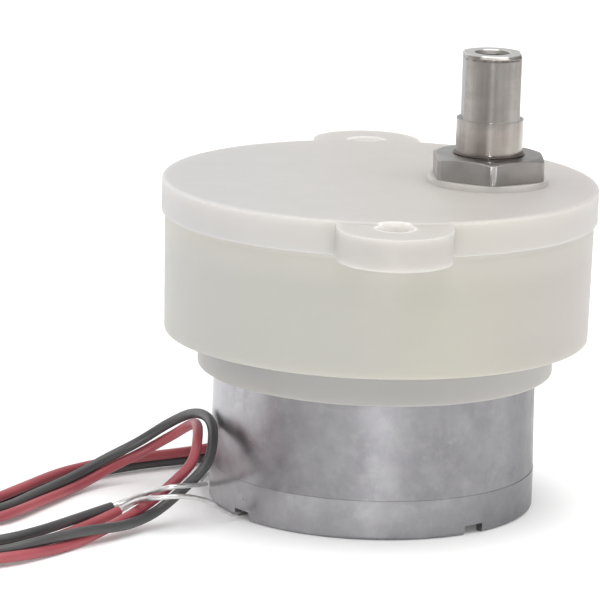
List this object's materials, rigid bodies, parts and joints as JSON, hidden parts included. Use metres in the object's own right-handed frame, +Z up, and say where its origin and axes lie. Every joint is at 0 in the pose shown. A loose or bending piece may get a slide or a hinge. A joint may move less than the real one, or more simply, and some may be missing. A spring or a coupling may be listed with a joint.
{
  "type": "geared dc motor",
  "caption": "Flat can dc motor under a round plastic gearbox with two ears, an offset double-flat output shaft and two leads.",
  "frame": {"origin": "centre of the motor's bottom rim, on the surface it stands on", "axes": "+Z up along the motor axis, +X from the motor axis to the output shaft, ears on +Y and -Y"},
  "size_m": [0.0922, 0.0691, 0.0534],
  "materials": {
    "case_plastic": "slightly translucent warm white moulding",
    "lid_plastic": "milky translucent white moulding",
    "can_steel": "dull zinc-plated drawn steel",
    "dark_steel": "dark satin, chamfered edges",
    "shaft_steel": "turned, grey satin",
    "bronze": "oiled sintered bronze",
    "bright_steel": "bright satin",
    "nylon": "natural nylon",
    "sintered_steel": "grey sintered steel",
    "black_plastic": "black moulded resin",
    "ferrite": "dark grey ferrite",
    "copper": "bright copper",
    "carbon": "matt graphite",
    "tin": "tinned, slightly dull",
    "red_insulation": "red insulation, soft sheen",
    "black_rubber": "black, soft sheen",
    "core_steel": "stacked laminations",
    "blue_coating": "blue resin coating",
    "brown_resin": "brown moulding resin",
    "brass": "turned brass"
  },
  "bodies": {
    "housing": {"gearbox_case": "case_plastic", "gearbox_lid": "lid_plastic", "case_screws": "bright_steel", "output_bushing": "dark_steel", "lower_bushing": "bronze", "axle_pins": "bright_steel", "gear_washers": "nylon", "gear_spacers": "nylon", "motor_screws": "bright_steel", "motor_can": "can_steel", "end_cup": "can_steel", "end_bell": "black_plastic", "front_bearing": "bronze", "rear_bearing": "bronze", "magnet_left": "ferrite", "magnet_right": "ferrite", "magnet_clips": "bright_steel", "brush_arms": "copper", "carbon_brushes": "carbon", "terminals": "tin", "solder_joints": "tin", "lead_pair": "red_insulation", "tinned_leads": "tin", "tinned_tips": "tin"},
    "rotor": {"motor_shaft": "bright_steel", "armature_core": "core_steel", "armature_coils": "copper", "coil_insulators": "blue_coating", "commutator_hub": "brown_resin", "commutator_segments": "copper", "varistor_ring": "carbon", "shaft_collars": "nylon", "motor_pinion": "brass"},
    "wheel_1": {"gear_1": "nylon"},
    "wheel_2": {"gear_2": "nylon"},
    "wheel_3": {"gear_3": "sintered_steel"},
    "output": {"output_shaft": "shaft_steel", "output_gear": "sintered_steel", "retaining_clip": "dark_steel", "thrust_washer": "nylon", "shaft_ring": "black_rubber"}
  },
  "joints": [
    {"name": "rotor_spin", "type": "hinge", "parent": "housing", "child": "rotor", "pos_m": [0, 0, 0.012], "axis": [0, 0, 1], "continuous": true},
    {"name": "gear_1_spin", "type": "hinge", "parent": "housing", "child": "wheel_1", "pos_m": [-0.01039, 0.006, 0.025], "axis": [0, 0, 1], "continuous": true},
    {"name": "gear_2_spin", "type": "hinge", "parent": "housing", "child": "wheel_2", "pos_m": [-0.00622, -0.00525, 0.028], "axis": [0, 0, 1], "continuous": true},
    {"name": "gear_3_spin", "type": "hinge", "parent": "housing", "child": "wheel_3", "pos_m": [0.0044, -0.00965, 0.031], "axis": [0, 0, 1], "continuous": true},
    {"name": "output_spin", "type": "hinge", "parent": "housing", "child": "output", "pos_m": [0.0125, 0, 0.04], "axis": [0, 0, 1], "continuous": true}
  ],
  "couplings": [
    {"joint": "gear_1_spin", "follows": "rotor_spin", "ratio": -0.26316},
    {"joint": "gear_2_spin", "follows": "rotor_spin", "ratio": 0.087719},
    {"joint": "gear_3_spin", "follows": "rotor_spin", "ratio": -0.03096},
    {"joint": "output_spin", "follows": "rotor_spin", "ratio": 0.012384}
  ]
}
